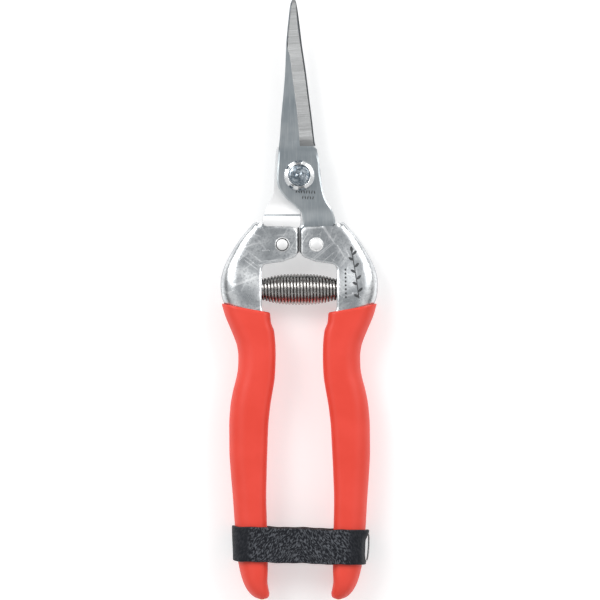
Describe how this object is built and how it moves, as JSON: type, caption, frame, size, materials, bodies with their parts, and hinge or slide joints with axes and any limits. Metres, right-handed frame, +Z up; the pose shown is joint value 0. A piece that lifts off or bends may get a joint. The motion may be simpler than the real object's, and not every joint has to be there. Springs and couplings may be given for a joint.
{
  "type": "floral snips",
  "caption": "Straight spring-open floral snips with slim crossed blades, pressed steel handles, vinyl grips and a leather closing strap, stored closed.",
  "frame": {"origin": "centre of the bounding box's base, on the surface the closed snips lie on", "axes": "+Y along the tool towards the blade tips, +Z up out of the front face, +X to the right half"},
  "size_m": [0.05, 0.19, 0.0136],
  "materials": {
    "plated_steel": "bright plated pressed steel, lightly scratched",
    "blade_steel": "satin stainless steel with ground bevels",
    "hardware_steel": "bright steel bolt, washer, nut, rivets, pegs and wire",
    "spring_steel": "bright spring wire",
    "vinyl": "coral red soft vinyl, satin",
    "leather": "charcoal pebble-grained leather"
  },
  "bodies": {
    "left_half": {"left_handle": "plated_steel", "left_grip": "vinyl", "rear_blade": "blade_steel", "left_rivet": "hardware_steel", "left_spring_peg": "hardware_steel", "pivot_bolt": "hardware_steel", "pivot_washer": "hardware_steel", "pivot_nut": "hardware_steel"},
    "right_half": {"right_handle": "plated_steel", "right_grip": "vinyl", "front_blade": "blade_steel", "right_rivet": "hardware_steel", "right_spring_peg": "hardware_steel"},
    "spring": {"coil_spring": "spring_steel"},
    "strap": {"strap": "leather", "strap_link": "hardware_steel"}
  },
  "joints": [
    {"name": "pivot", "type": "hinge", "parent": "left_half", "child": "right_half", "pos_m": [0, 0.039, 0.0068], "axis": [0, 0, 1], "range_deg": [0, 25], "deforming": ["coil_spring", "strap", "strap_link"]},
    {"name": "spring_follow", "type": "hinge", "parent": "left_half", "child": "spring", "pos_m": [0, 0.039, 0.0068], "axis": [0, 0, 1], "range_deg": [0, 12.5]},
    {"name": "strap_slip", "type": "slide", "parent": "right_half", "child": "strap", "axis": [0, -1, 0], "range_m": [0, 0.029]}
  ],
  "couplings": [
    {"joint": "spring_follow", "follows": "pivot", "ratio": 0.5}
  ]
}
